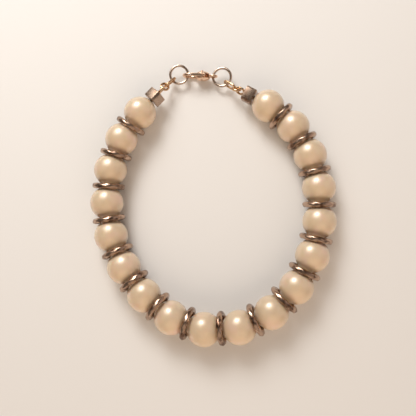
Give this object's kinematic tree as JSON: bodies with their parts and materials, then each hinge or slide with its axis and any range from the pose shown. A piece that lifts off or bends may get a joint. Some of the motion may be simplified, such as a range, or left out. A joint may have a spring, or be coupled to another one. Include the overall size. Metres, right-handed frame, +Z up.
{
  "type": "pearl bracelet",
  "caption": "Closed bracelet of round cream pearls with twisted metal spacer rings, square end blocks, short link chains and a lobster clasp, lying flat.",
  "frame": {"origin": "centre of the bounding box in plan, on the surface that the bracelet lies on", "axes": "+Z up from the surface, +Y towards the clasp, +X along the clasp from its hook to its eye"},
  "size_m": [0.0594, 0.0698, 0.008],
  "materials": {
    "pearl": "pearl lustre",
    "twisted_metal": "polished rose gold plate",
    "block_metal": "polished rose gold plate",
    "gold_wire": "polished gold plate",
    "clasp_metal": "polished pale gold plate"
  },
  "bodies": {
    "bracelet": {"pearl_01": "pearl", "pearl_02": "pearl", "pearl_03": "pearl", "pearl_04": "pearl", "pearl_05": "pearl", "pearl_06": "pearl", "pearl_07": "pearl", "pearl_08": "pearl", "pearl_09": "pearl", "pearl_10": "pearl", "pearl_11": "pearl", "pearl_12": "pearl", "pearl_13": "pearl", "pearl_14": "pearl", "pearl_15": "pearl", "pearl_16": "pearl", "pearl_17": "pearl", "pearl_18": "pearl", "spacer_ring_01": "twisted_metal", "spacer_ring_02": "twisted_metal", "spacer_ring_03": "twisted_metal", "spacer_ring_04": "twisted_metal", "spacer_ring_05": "twisted_metal", "spacer_ring_06": "twisted_metal", "spacer_ring_07": "twisted_metal", "spacer_ring_08": "twisted_metal", "spacer_ring_09": "twisted_metal", "spacer_ring_10": "twisted_metal", "spacer_ring_11": "twisted_metal", "spacer_ring_12": "twisted_metal", "spacer_ring_13": "twisted_metal", "spacer_ring_14": "twisted_metal", "spacer_ring_15": "twisted_metal", "spacer_ring_16": "twisted_metal", "spacer_ring_17": "twisted_metal", "bead_wire": "gold_wire", "jump_ring_left": "clasp_metal", "chain_link_left_long": "gold_wire", "chain_link_left_round": "gold_wire", "end_block_left": "block_metal", "jump_ring_right": "clasp_metal", "chain_link_right_long": "gold_wire", "chain_link_right_round": "gold_wire", "end_block_right": "block_metal", "clasp_body": "clasp_metal"},
    "lever": {"clasp_lever": "clasp_metal"}
  },
  "joints": [
    {"name": "lever_hinge", "type": "hinge", "parent": "bracelet", "child": "lever", "pos_m": [-0.00453, 0.0321, 0.00253], "axis": [0, 0.9781, 0.2079], "range_deg": [0, 30], "stiffness_Nm_per_rad": 0.003, "springref_deg": -11.46}
  ]
}
